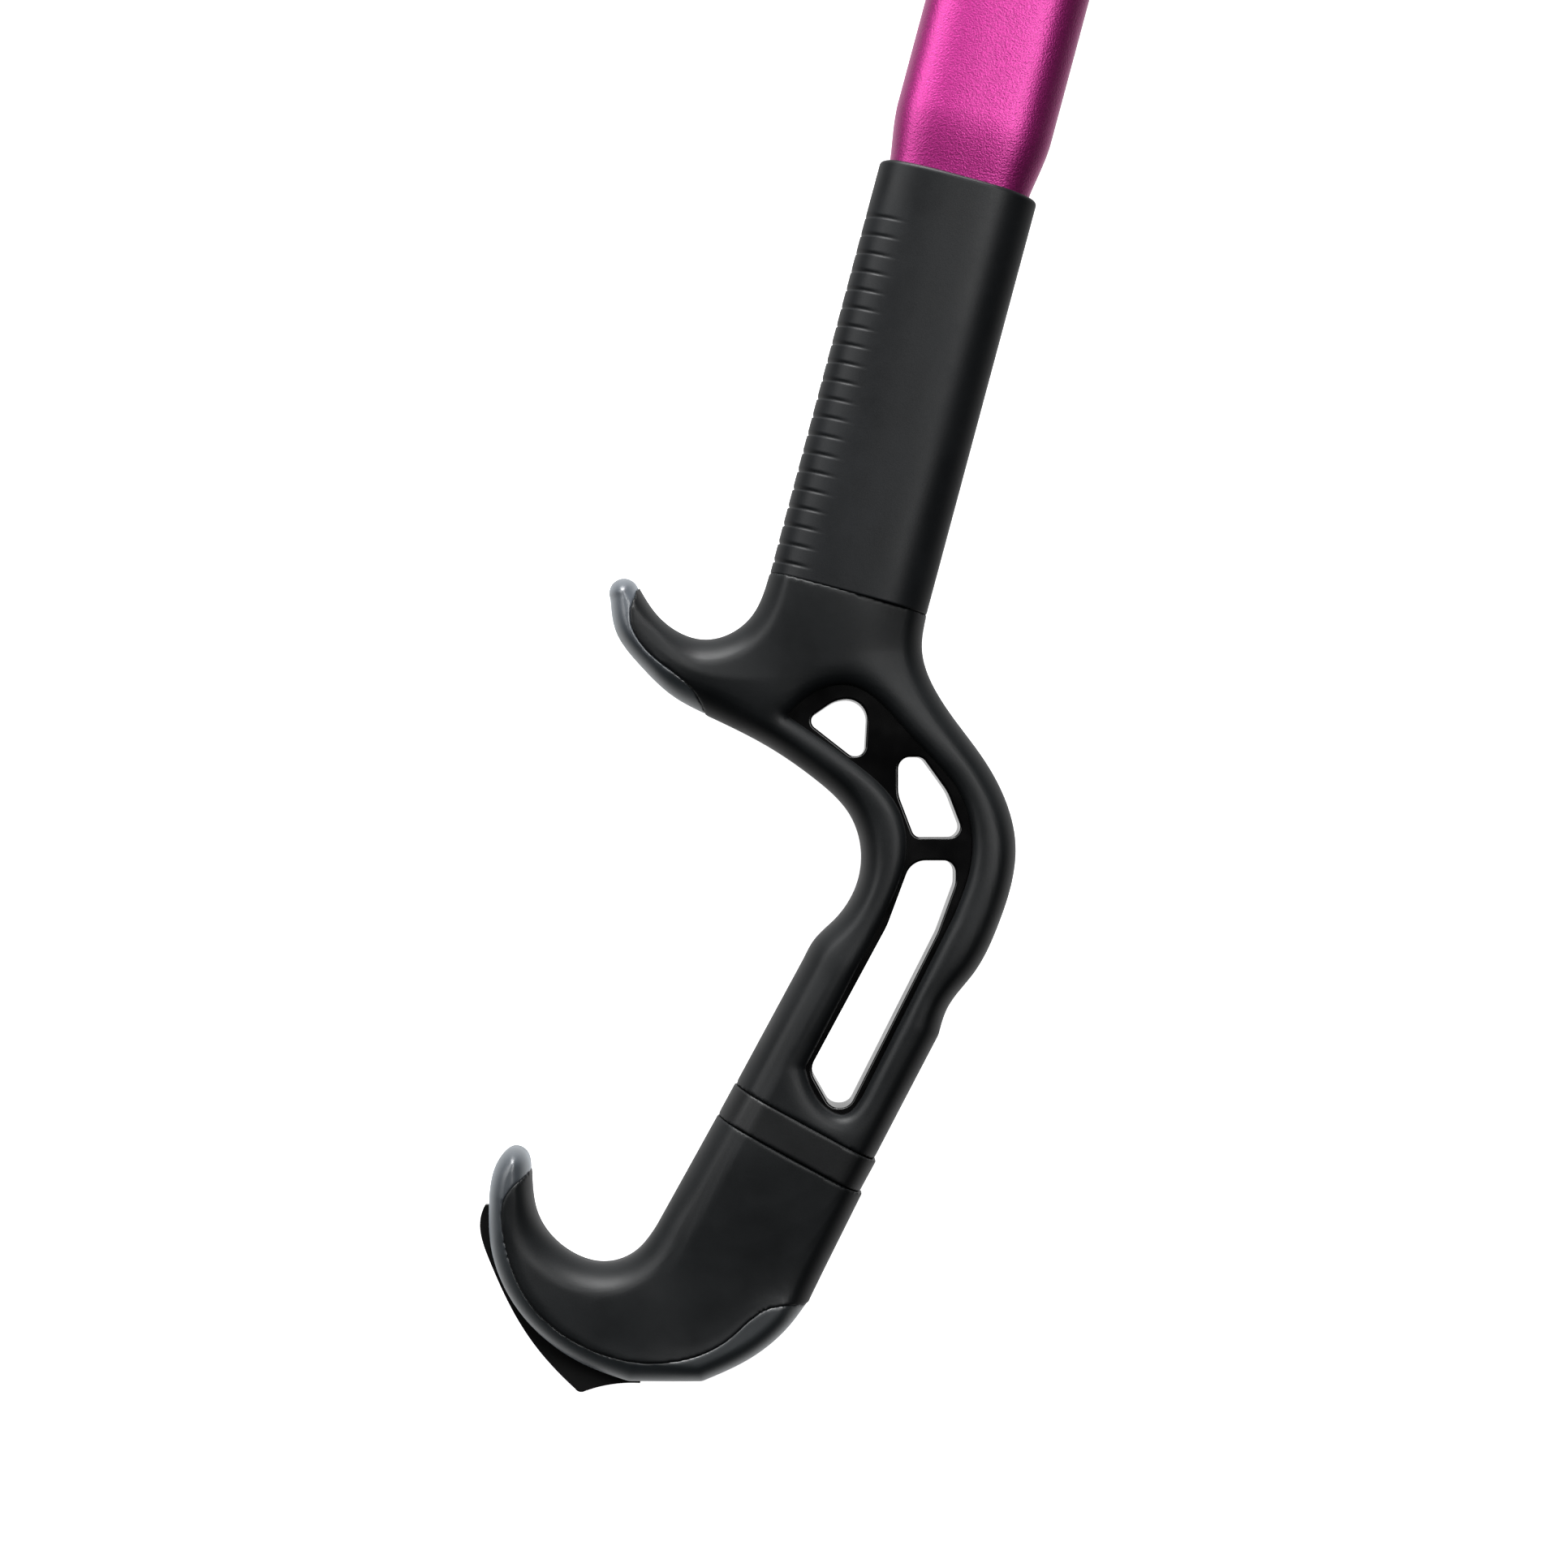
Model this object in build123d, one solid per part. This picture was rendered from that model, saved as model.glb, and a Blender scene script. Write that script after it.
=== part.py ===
from build123d import *
import math
import os

os.makedirs("parts", exist_ok=True)

# A bent-shaft ice tool lying on its side. Built in a drawing frame: X across the tool, away from the
# pick, Y from the spike to the head, Z through the thickness with the mid plane at 0. At the end
# every piece is moved so that the origin is the middle of the bottom of the whole tool's box.

# Shaft tube
shaft_lean = 15.0  # degrees from Y, below the bend
shaft_bend = 28.0  # degrees towards the pick
bend_radius = 165.0
tube_width, tube_depth, tube_corner = 39.0, 27.0, 8.5
neck_width, neck_depth, neck_corner = 36.0, 24.0, 7.0  # under the sleeve and in the handle
tube_wall = 2.0
tube_foot = (15.8, 196.3)  # axis point where the sleeve ends
tube_below = 20.0  # the tube's length below that point
neck_length, neck_taper = 107.0, 4.0
straight_length = 205.0  # from tube_foot to the start of the bend
top_length = 26.0

# Upper grip sleeve
sleeve_width, sleeve_depth, sleeve_corner = 40.0, 28.5, 8.5
sleeve_length = 105.0
groove_count, groove_pitch, groove_first = 20, 4.6, 3.0
groove_width, groove_depth, groove_reach = 1.2, 0.8, 9.0

# Handle
grip_half, core_half = 14.5, 9.0
window_rim = 0.6  # rounding round each window's edge
side_rounding, lip_rounding = 3.4, 2.5  # where the faces turn into the sides, and round the web
tang_above = 45.0
fit = 0.05  # running clearance, radial
handle_pin_radius, handle_pin_heights = 2.5, (12.0, 34.0)

# Lower grip axis: local "along" points up the grip, "across" points away from the fingers
grip_lean = 28.5
grip_origin = (1.2, 58.9)
spacer_thick, spacer_half, spacer_half_width = 8.7, 15.0, 19.8
rod_radius, rod_across, rod_in_pommel, rod_in_handle = 2.5, 11.2, 14.0, 38.0
screw_radius, screw_head_radius, screw_head_height = 2.5, 4.2, 5.0
screw_seat = -38.0
screw_bore_clearance = 0.08
nut_flats, nut_height, nut_along = 8.0, 4.0, 10.0
screw_past_nut = 0.6
hex_key_flats = 4.0

# Spike
spike_half = 1.5
pin_radius = 2.0

# Head
head_half = 10.0
slot_half, pick_half = 2.05, 2.0
bolt_radius, bolt_head_radius, bolt_head_height = 4.0, 6.5, 3.0
clip_radius = 6.5
rivet_radius = 2.5
tooth_count, tooth_depth = 20, 2.2
tang_length = 34.0


def direction(angle):
    """Unit vector at this angle from +Y, turning towards +X."""
    return Vector(math.sin(math.radians(angle)), math.cos(math.radians(angle)), 0)


def axis_plane(origin, angle):
    """Plane across an axis that leans by angle: its X is across, its Z is along."""
    along = direction(angle)
    return Plane(origin=(origin[0], origin[1], 0), x_dir=direction(angle + 90), z_dir=along)


def point_on(origin, angle, along, across):
    """Point from its distances along and across a leaning axis."""
    up, side = direction(angle), direction(angle + 90)
    spot = Vector(origin[0], origin[1], 0) + up * along + side * across
    return (spot.X, spot.Y)


def in_grip(along, across):
    return point_on(grip_origin, grip_lean, along, across)


def on_shaft(along, across=0.0):
    return point_on(tube_foot, shaft_lean, along, across)


def slab(edges, half):
    """Solid between -half and +half over a closed outline."""
    return extrude(Face(Wire(edges)), half, both=True)


def polygon(points, half):
    return slab(Polyline(*points, close=True).edges(), half)


def rounded_slab(soft, sharp, half):
    """Slab of this outline, rounded on both faces along the soft edges and left sharp along the others."""
    body = extrude(Face(Wire(soft + sharp)), half, both=True)
    rims = []
    for edge in body.edges():
        middle = edge @ 0.5
        at_face = abs(abs(middle.Z) - half) < 0.001
        if at_face and min(curve.distance_to(Vertex(middle.X, middle.Y, 0)) for curve in soft) < 0.001:
            rims.append(edge)
    return fillet(rims, side_rounding)


def tube_section(plane, width, depth, corner):
    return plane * RectangleRounded(width, depth, corner)


def cross_pin(x, y, radius, half):
    return Pos(x, y, 0) * Cylinder(radius, 2 * half)


# ---- shaft ----

bend_start = on_shaft(straight_length)
bend_end_lean = shaft_lean - shaft_bend
bend_centre = point_on(bend_start, shaft_lean, 0, -bend_radius)
bend_end = point_on(bend_centre, bend_end_lean, 0, bend_radius)
bend_middle = point_on(bend_centre, (shaft_lean + bend_end_lean) / 2, 0, bend_radius)
tube_top = point_on(bend_end, bend_end_lean, top_length, 0)


def tube_body(width, depth, corner, foot):
    """Straight, bent and straight again, from foot millimetres above tube_foot to the head."""
    start = on_shaft(foot)
    path = Wire([
        Line(start, bend_start),
        ThreePointArc(bend_start, bend_middle, bend_end),
        Line(bend_end, tube_top),
    ])
    return sweep(tube_section(axis_plane(start, shaft_lean), width, depth, corner), path)


def tube_solid(inset):
    """The tube's outside, or with inset its inside, made of neck, taper and full section."""
    shrink = 2 * inset
    neck = (neck_width - shrink, neck_depth - shrink, neck_corner - inset)
    full = (tube_width - shrink, tube_depth - shrink, tube_corner - inset)
    foot = axis_plane(on_shaft(-tube_below), shaft_lean)
    lower = extrude(tube_section(foot, *neck), neck_length + tube_below)
    taper_foot = axis_plane(on_shaft(neck_length), shaft_lean)
    taper_top = axis_plane(on_shaft(neck_length + neck_taper), shaft_lean)
    taper = loft([tube_section(taper_foot, *neck), tube_section(taper_top, *full)])
    return lower + taper + tube_body(*full, neck_length + neck_taper)


tube_outside = tube_solid(0)
shaft_tube = tube_outside - tube_solid(tube_wall)


def make_sleeve():
    foot = axis_plane(tube_foot, shaft_lean)
    outside = extrude(tube_section(foot, sleeve_width, sleeve_depth, sleeve_corner), sleeve_length)
    grooves = []
    for number in range(groove_count):
        along = groove_first + number * groove_pitch
        x, y = on_shaft(along, -sleeve_width / 2)
        cutter = Box(2 * groove_depth, groove_width, 2 * groove_reach)
        grooves.append(Pos(x, y, 0) * Rot(0, 0, -shaft_lean) * cutter)
    return outside - tube_outside - grooves


upper_grip_sleeve = make_sleeve()

# ---- handle outlines ----

sleeve_left, sleeve_right = on_shaft(-0.1, -20.0), on_shaft(-0.1, 20.0)
spacer_top_left, spacer_top_right = in_grip(spacer_thick, -19.5), in_grip(spacer_thick, 19.5)
rest_seam_top, rest_seam_foot = (-35.8, 198.2), (-19.2, 166.5)
front_foot, back_foot = (4.8, 106.6), (38.0, 88.0)


def rest_seam():
    """Joint between the rubber and the hard nose of the upper rest, from its top to its foot."""
    return Spline(rest_seam_top, (-37.5, 191.0), (-32.0, 180.8), (-22.0, 172.4), rest_seam_foot)


def handle_slab():
    """The handle with its upper rest, sharp where it meets the sleeve and the spacer."""
    back = Spline(sleeve_right, (34.0, 183.0), (38.4, 170.8), (49.8, 154.8), (57.0, 134.8),
                  (52.6, 114.8), (46.4, 102.8), (40.2, 94.6), back_foot)
    front = Spline(front_foot, (7.4, 111.2), (12.6, 116.4), (18.8, 129.0), (16.4, 141.6), (7.6, 150.8),
                   (-4.0, 158.8), rest_seam_foot, (-27.2, 170.8), (-35.8, 178.8), (-41.6, 187.0),
                   (-43.0, 195.0))
    tip = ThreePointArc((-43.0, 195.0), (-40.4, 200.2), rest_seam_top)
    saddle = Spline(rest_seam_top, (-30.8, 190.8), (-19.2, 185.2), (-8.6, 190.2), sleeve_left)
    soft = [back, Line(back_foot, spacer_top_right), Line(spacer_top_left, front_foot), front, tip, saddle]
    ends = [Line(spacer_top_right, spacer_top_left), Line(sleeve_left, sleeve_right)]
    return rounded_slab(soft, ends, grip_half)


def nose_side():
    """Everything beyond the rest's seam."""
    around = Polyline(rest_seam_foot, (-18.0, 150.0), (-60.0, 150.0), (-60.0, 210.0), (-37.0, 210.0),
                      rest_seam_top)
    return slab(around.edges() + [rest_seam()], grip_half + 1)


def core_face():
    """The core's outline, one skin thickness inside the rubber."""
    back = Spline((30.6, 186.0), (30.6, 180.0), (35.6, 168.6), (46.4, 153.2), (53.4, 134.8),
                  (49.2, 116.4), (40.4, 101.4), (35.2, 90.5))
    low_right = in_grip(spacer_thick, 16.0)
    low_left = in_grip(spacer_thick, -16.0)
    front = Spline((9.2, 107.2), (18.2, 117.2), (22.6, 133.0), (14.8, 149.4), (-2.4, 162.0), (-17.5, 170.0))
    nose = Spline((-17.5, 170.0), (-27.5, 179.5), (-33.6, 188.5))
    saddle = Spline((-33.6, 188.5), (-28.5, 184.0), (-19.2, 181.4), (-6.0, 186.0), (0.0, 193.0))
    edges = [
        back,
        Line((35.2, 90.5), low_right),
        Line(low_right, low_left),
        Line(low_left, (9.2, 107.2)),
        front,
        nose,
        saddle,
        Line((0.0, 193.0), (30.6, 186.0)),
    ]
    return Face(Wire(edges))


def lip_face():
    """Opening in the rubber that leaves the core's web and its windows free."""
    upper = Spline((1.0, 166.4), (5.2, 170.4), (14.8, 173.8), (30.4, 161.8), (44.4, 144.0),
                   (45.8, 131.0), (41.4, 117.2))
    lower = Spline((24.6, 118.4), (30.0, 131.0), (28.8, 142.8), (16.2, 155.8), (1.0, 166.4))
    low_right, low_left = (19.4, 73.6), (5.2, 81.0)
    foot = ThreePointArc(low_right, (14.0, 69.3), low_left)
    edges = [upper, Line((41.4, 117.2), low_right), foot, Line(low_left, (24.6, 118.4)), lower]
    return Face(Wire(edges))


def rounded_outline(corners):
    """Face of straight sides with a rounding at each (x, y, radius) corner."""
    face = Face(Wire(Polyline(*[(x, y) for x, y, radius in corners], close=True).edges()))
    for x, y, radius in corners:
        corner = face.vertices().sort_by_distance((x, y, 0))[0]
        face = fillet(corner, radius)
    return face


window_top = [(5.3, 165.1, 2.0), (12.4, 170.0, 8.0), (20.6, 171.0, 5.0), (19.8, 156.4, 2.4), (16.4, 156.4, 2.2)]
window_middle = [(27.9, 156.2, 3.0), (33.8, 156.2, 2.6), (40.0, 147.6, 12.0), (44.2, 136.5, 2.6),
                 (31.9, 136.5, 2.4), (27.9, 147.0, 8.0)]
window_long = [(31.1, 130.9, 5.0), (41.9, 130.9, 3.0), (41.9, 125.2, 5.0), (37.5, 113.2, 14.0),
               (15.9, 70.5, 3.4), (11.4, 70.5, 3.4), (6.2, 79.8, 4.6), (25.2, 115.0, 20.0)]


def windowed_web():
    """The core's plate with its three windows, their edges rounded on both sides."""
    plate = extrude(core_face(), core_half, both=True)
    outlines = (window_top, window_middle, window_long)
    cutters = [extrude(rounded_outline(corners), core_half + 1, both=True) for corners in outlines]
    web = plate - cutters
    rims = [edge for edge in new_edges(plate, *cutters, combined=web)
            if abs(abs(edge.center().Z) - core_half) < 0.01]
    return fillet(rims, window_rim)


# ---- lower grip: guide rods, screw and nut share the grip axis ----

grip_plane = axis_plane(grip_origin, grip_lean)


def along_grip(start, end, radius, across=0.0):
    """Cylinder parallel to the grip axis between two distances along it."""
    spot = Pos(across, 0, (start + end) / 2)
    return grip_plane * spot * Cylinder(radius, end - start)


guide_rods = [
    along_grip(-rod_in_pommel, spacer_thick + rod_in_handle, rod_radius, side * rod_across)
    for side in (-1, 1)
]


def rod_bores(start, end, clearance):
    return [along_grip(start, end, rod_radius + clearance, side * rod_across) for side in (-1, 1)]


def hex_prism(flats, start, end, clearance=0.0):
    profile = RegularPolygon((flats / 2 + clearance) / math.cos(math.pi / 6), 6, rotation=30)
    return grip_plane * Pos(0, 0, start) * extrude(profile, end - start)


def make_screw():
    tip = nut_along + nut_height + screw_past_nut
    head = along_grip(screw_seat - screw_head_height, screw_seat, screw_head_radius)
    shank = along_grip(screw_seat, tip, screw_radius)
    socket = hex_prism(hex_key_flats, screw_seat - screw_head_height, screw_seat - 2.0)
    return head + shank - socket


def make_nut():
    bore = along_grip(0, 20, screw_radius + screw_bore_clearance)
    return hex_prism(nut_flats, nut_along, nut_along + nut_height) - bore


pommel_screw = make_screw()
pommel_nut = make_nut()


def make_tang():
    """The handle core's tongue inside the tube, rooted a millimetre below the tube's end."""
    root = 1.0
    foot = axis_plane(on_shaft(-tube_below - root), shaft_lean)
    inner = (neck_width - 2 * (tube_wall + fit), neck_depth - 2 * (tube_wall + fit), neck_corner - tube_wall)
    return extrude(tube_section(foot, *inner), root + tube_below + tang_above)


core_tang = make_tang()
handle_pins = [cross_pin(*on_shaft(height), handle_pin_radius, neck_depth / 2 - 0.2)
               for height in handle_pin_heights]
handle_pin_bores = [cross_pin(*on_shaft(height), handle_pin_radius, neck_depth)
                    for height in handle_pin_heights]
shaft_tube -= handle_pin_bores


def make_handle_core():
    body = windowed_web() - tube_outside
    body += core_tang
    body -= rod_bores(0, spacer_thick + rod_in_handle + 1.0, fit)
    nut_top = nut_along + nut_height
    body -= along_grip(0, nut_top + screw_past_nut + 0.4, screw_radius + screw_bore_clearance)
    body -= hex_prism(nut_flats, nut_along, nut_top + 0.02, 0.02)
    return body - handle_pin_bores


def make_handle_grip():
    whole = handle_slab() - nose_side()
    lip = extrude(lip_face(), grip_half + 1, both=True)
    body = whole - lip
    rims = [edge for edge in new_edges(whole, lip, combined=body)
            if abs(abs(edge.center().Z) - grip_half) < 0.01]
    body = fillet(rims, lip_rounding)
    body -= extrude(core_face(), core_half, both=True)
    return body - tube_outside - core_tang


handle_core = make_handle_core()
handle_grip = make_handle_grip()
upper_rest_bumper = handle_slab() & nose_side()
handle_core -= upper_rest_bumper


def make_spacer():
    corners = [in_grip(0, -spacer_half_width), in_grip(0, spacer_half_width),
               in_grip(spacer_thick, spacer_half_width), in_grip(spacer_thick, -spacer_half_width)]
    low, right, high, left = Polyline(*corners, close=True).edges()
    body = rounded_slab([left, right], [low, high], spacer_half)
    body -= rod_bores(-1, spacer_thick + 1, fit)
    return body - along_grip(-1, spacer_thick + 1, screw_radius + screw_bore_clearance)


grip_spacer = make_spacer()

# ---- pommel ----

pommel_left, pommel_right = in_grip(0, -19.6), in_grip(0, 19.6)
toe_seam_top, heel_seam = (-62.2, 54.6), (6.0, 22.3)


def toe_seam():
    """Joint between the pommel's rubber and its hard cap, from the hook's tip round to the heel."""
    return Spline(toe_seam_top, (-67.8, 49.0), (-68.2, 39.4), (-62.0, 23.4), (-45.4, 11.4), (-29.4, 9.0),
                  (-13.4, 14.8), (-4.6, 21.8), heel_seam)


def pommel_slab():
    saddle = Spline((-32.0, 39.6), (-43.6, 31.8), (-57.6, 39.0), toe_seam_top)
    front, back = Line(pommel_left, (-32.0, 39.6)), Line(heel_seam, pommel_right)
    return rounded_slab([front, saddle, back], [Line(pommel_right, pommel_left), toe_seam()], grip_half)


def pommel_core_face():
    left, right = in_grip(0, -16.0), in_grip(0, 16.0)
    saddle = Spline((-28.6, 38.6), (-43.6, 28.0), (-56.0, 32.0), (-62.0, 38.0))
    toe = Spline((-62.0, 38.0), (-58.6, 25.4), (-44.0, 14.8), (-29.4, 12.4), (-15.0, 18.2), (-5.6, 25.2),
                 (2.6, 27.0))
    return Face(Wire([Line(right, left), Line(left, (-28.6, 38.6)), saddle, toe, Line((2.6, 27.0), right)]))


def cap_slab():
    tip = Spline(toe_seam_top, (-63.2, 59.0), (-66.2, 60.6), (-70.2, 57.6), (-72.6, 49.0))
    outer = Spline((-72.6, 49.0), (-72.2, 36.2), (-64.4, 19.0), (-47.2, 6.2), (-38.0, 3.0))
    sole = Line((-38.0, 3.0), (-20.0, 3.0))
    heel = Spline((-20.0, 3.0), (-8.4, 8.4), (0.8, 15.8), heel_seam)
    return slab([tip, outer, sole, heel, toe_seam()], grip_half)


def spike_face():
    rim = Spline((-73.6, 46.0), (-74.8, 42.0), (-72.6, 32.6), (-62.0, 12.4), (-51.4, 0.8))
    nose = ThreePointArc((-51.4, 0.8), (-50.2, 0.0), (-49.0, 0.2))
    under = Spline((-49.0, 0.2), (-44.0, 1.6), (-35.4, 2.2))
    inner = Spline((-35.4, 16.5), (-50.0, 24.0), (-60.0, 36.0), (-66.5, 46.0))
    return Face(Wire([rim, nose, under, Line((-35.4, 2.2), (-35.4, 16.5)), inner,
                      Line((-66.5, 46.0), (-73.6, 46.0))]))


spike_pin_spots = ((-54.0, 24.5), (-42.0, 17.8))
spike_plate = extrude(spike_face(), spike_half, both=True)
for x, y in spike_pin_spots:
    spike_plate -= cross_pin(x, y, pin_radius, 5)
spike_pins = [cross_pin(x, y, pin_radius, core_half - 0.5) for x, y in spike_pin_spots]

screw_well = along_grip(-80, screw_seat, screw_head_radius + 0.3)
screw_bore = along_grip(screw_seat - 1, 1, screw_radius + screw_bore_clearance)

pommel_core = extrude(pommel_core_face(), core_half, both=True) - spike_plate - spike_pins
pommel_core -= [screw_well, screw_bore]
pommel_core -= guide_rods
pommel_bumper = cap_slab() - spike_plate - screw_well
pommel_grip = pommel_slab() - extrude(pommel_core_face(), core_half, both=True)
pommel_grip -= spike_plate
pommel_grip -= screw_well

# ---- head, in a frame at the tube's top: "forward" towards the pick, "up" along the tube ----


def in_head(forward, up):
    return point_on(tube_top, bend_end_lean, up, -forward)


def head_points(points):
    return [in_head(*point) for point in points]


def head_spline(*points):
    return Spline(*head_points(points))


def head_line(a, b):
    return Line(in_head(*a), in_head(*b))


bolt_spots = ((38.0, 17.0), (20.0, 17.5), (-15.0, 17.0))
clip_spot = (3.0, 15.0)


def make_head():
    body = slab([
        head_line((-19.5, 0.0), (-25.0, 8.0)),
        head_line((-25.0, 8.0), (-25.0, 27.0)),
        head_spline((-25.0, 27.0), (0.0, 30.0), (30.0, 28.5), (50.0, 25.0)),
        head_line((50.0, 25.0), (48.0, 9.0)),
        head_spline((48.0, 9.0), (36.0, 5.5), (26.0, 3.0), (19.5, 0.0)),
        head_line((19.5, 0.0), (-19.5, 0.0)),
    ], head_half)
    inner = (tube_width - 2 * (tube_wall + fit), tube_depth - 2 * (tube_wall + fit), tube_corner - tube_wall)
    tang_foot = point_on(tube_top, bend_end_lean, -22.0, 0)
    body += extrude(tube_section(axis_plane(tang_foot, bend_end_lean), *inner), 23.0)
    pick_slot = [(11.5, 6.0), (60.0, 6.0), (60.0, 40.0), (11.5, 40.0)]
    hammer_slot = [(-5.0, 6.0), (-5.0, 40.0), (-40.0, 40.0), (-40.0, 6.0)]
    for corners in (pick_slot, hammer_slot):
        body -= polygon(head_points(corners), slot_half)
    for spot in bolt_spots:
        body -= cross_pin(*in_head(*spot), bolt_radius + fit, 20)
    body -= cross_pin(*in_head(*clip_spot), clip_radius, 20)
    return body


head = make_head()
rivet_spots = [point_on(tube_top, bend_end_lean, -10.0, side * 9.0) for side in (-1, 1)]


def make_rivet(x, y):
    shank = cross_pin(x, y, rivet_radius, tube_depth / 2)
    caps = [Pos(x, y, side * (tube_depth / 2 + 0.4)) * Cylinder(rivet_radius + 1.5, 0.8) for side in (-1, 1)]
    return shank + caps[0] + caps[1]


head_rivets = [make_rivet(*spot) for spot in rivet_spots]
for x, y in rivet_spots:
    head -= cross_pin(x, y, rivet_radius, 20)
    shaft_tube -= cross_pin(x, y, rivet_radius, 20)


def under_edge(share):
    """Point of the pick's lower edge, from the head (0) to the tip (1)."""
    forward = 51.0 + 100.0 * share
    up = 6.5 - 4.0 * share - 24.0 * share ** 2
    return forward, up


def make_pick():
    teeth = [(12.0, 6.5), (51.0, 6.5)]
    for number in range(tooth_count):
        crest = under_edge((number + 0.2) / tooth_count)
        root = under_edge((number + 1.0) / tooth_count)
        teeth.append(crest)
        teeth.append((root[0], root[1] + tooth_depth))
    tip = (158.0, -29.0)
    lower = Polyline(*head_points(teeth), in_head(*tip)).edges()
    top = head_spline(tip, (149.0, -10.0), (120.0, 11.5), (84.0, 23.0), (50.0, 26.5))
    tang = [head_line((50.0, 26.5), (12.0, 27.0)), head_line((12.0, 27.0), (12.0, 6.5))]
    plate = slab([*lower, top, *tang], pick_half)
    for spot in bolt_spots[:2]:
        plate -= cross_pin(*in_head(*spot), bolt_radius + fit, 5)
    return plate


pick = make_pick()


def make_hammer():
    tang = polygon(head_points([(-5.5, 6.5), (-30.0, 6.5), (-30.0, 26.0), (-5.5, 26.5)]), pick_half)
    block = polygon(head_points([(-25.6, 7.0), (-40.0, 8.5), (-40.0, 25.0), (-25.6, 26.6)]), 9.0)
    return tang + block - cross_pin(*in_head(*bolt_spots[2]), bolt_radius + fit, 5)


hammer = make_hammer()


def make_bolt(x, y):
    shank = Pos(x, y, 0) * Cylinder(bolt_radius, 2 * head_half)
    cap = Pos(x, y, head_half + bolt_head_height / 2) * Cylinder(bolt_head_radius, bolt_head_height)
    key = Pos(x, y, head_half + 1.2) * extrude(RegularPolygon(2.9, 6), bolt_head_height)
    return shank + cap - key


def make_head_nut(x, y):
    return Pos(x, y, -head_half - bolt_head_height) * extrude(RegularPolygon(7.0, 6), bolt_head_height)


head_bolts = [make_bolt(*in_head(*spot)) for spot in bolt_spots]
head_nuts = [make_head_nut(*in_head(*spot)) for spot in bolt_spots]

# ---- move to the part's own origin and write ----

pieces = {
    "shaft_tube": shaft_tube,
    "upper_grip_sleeve": upper_grip_sleeve,
    "handle_core": handle_core,
    "handle_grip": handle_grip,
    "handle_pins": handle_pins,
    "upper_rest_bumper": upper_rest_bumper,
    "grip_spacer": grip_spacer,
    "guide_rods": guide_rods,
    "pommel_screw": pommel_screw,
    "pommel_nut": pommel_nut,
    "pommel_core": pommel_core,
    "pommel_grip": pommel_grip,
    "pommel_bumper": pommel_bumper,
    "spike_plate": spike_plate,
    "spike_pins": spike_pins,
    "head": head,
    "head_rivets": head_rivets,
    "pick": pick,
    "hammer": hammer,
    "head_bolts": head_bolts,
    "head_nuts": head_nuts,
}


def as_compound(piece):
    """One compound of separate solids, whether the piece is a list of shapes or one shape."""
    shapes = piece if isinstance(piece, list) else [piece]
    return Compound([solid for shape in shapes for solid in shape.solids()])


compounds = {name: as_compound(piece) for name, piece in pieces.items()}
whole = Compound(list(compounds.values())).bounding_box()
to_origin = Pos(-whole.center().X, -whole.center().Y, -whole.min.Z)
for name, compound in compounds.items():
    export_step(to_origin * compound, f"parts/{name}.step")
print("drawing frame box", whole.min, whole.max)
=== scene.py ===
import math

import bmesh
import bpy
import numpy as np
import openvdb as vdb
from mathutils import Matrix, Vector


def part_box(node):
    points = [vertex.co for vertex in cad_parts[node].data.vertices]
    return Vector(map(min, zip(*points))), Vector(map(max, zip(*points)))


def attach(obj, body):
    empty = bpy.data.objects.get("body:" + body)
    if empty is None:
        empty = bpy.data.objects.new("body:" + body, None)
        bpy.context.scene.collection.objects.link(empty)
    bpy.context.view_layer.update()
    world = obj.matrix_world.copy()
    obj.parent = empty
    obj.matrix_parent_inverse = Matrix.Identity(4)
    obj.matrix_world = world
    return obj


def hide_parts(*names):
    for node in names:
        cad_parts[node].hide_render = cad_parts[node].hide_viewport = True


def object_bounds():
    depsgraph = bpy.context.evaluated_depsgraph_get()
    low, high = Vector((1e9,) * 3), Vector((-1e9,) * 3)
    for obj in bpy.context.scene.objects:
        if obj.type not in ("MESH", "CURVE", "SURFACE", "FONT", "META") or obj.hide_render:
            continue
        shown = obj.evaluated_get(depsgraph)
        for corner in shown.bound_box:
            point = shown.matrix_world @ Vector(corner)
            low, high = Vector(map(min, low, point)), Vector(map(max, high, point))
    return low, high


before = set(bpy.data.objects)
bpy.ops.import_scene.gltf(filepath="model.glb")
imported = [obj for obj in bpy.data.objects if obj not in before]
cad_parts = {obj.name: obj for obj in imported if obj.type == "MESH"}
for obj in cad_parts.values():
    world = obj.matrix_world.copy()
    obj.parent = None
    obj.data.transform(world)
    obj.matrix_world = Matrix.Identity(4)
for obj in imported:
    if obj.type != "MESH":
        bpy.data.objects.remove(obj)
cad_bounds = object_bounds()

# Lengths below are in millimetres in the drawing frame: X across the tool, away from the pick, Y from the
# spike to the head, Z through the thickness with the mid plane at 0. place() turns them into the row frame.
MM = 0.001

# ---------------------------------------------------------------- driving dimensions

SHAFT_LEAN, SHAFT_BEND, BEND_RADIUS = 15.0, 28.0, 165.0
SHAFT_FOOT = (15.8, 196.3)
STRAIGHT_LENGTH, TOP_LENGTH = 205.0, 26.0
SLEEVE_LENGTH = 105.0
GRIP_LEAN = 28.5
GRIP_ORIGIN = (1.2, 58.9)
SPACER_THICK = 8.7
FIELD_HALF, FIELD_LIMIT = 15.2, 3.0  # how far from the mid plane fields are sampled, and their largest value


def direction(angle):
    """Unit vector at this angle from +Y, turning towards +X."""
    return np.array([math.sin(math.radians(angle)), math.cos(math.radians(angle))])


def point_on(origin, angle, along, across=0.0):
    """Point this far along a line at this angle, and this far to its right."""
    return tuple(np.array(origin) + direction(angle) * along + direction(angle + 90) * across)


def in_grip(along, across):
    return point_on(GRIP_ORIGIN, GRIP_LEAN, along, across)


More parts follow.
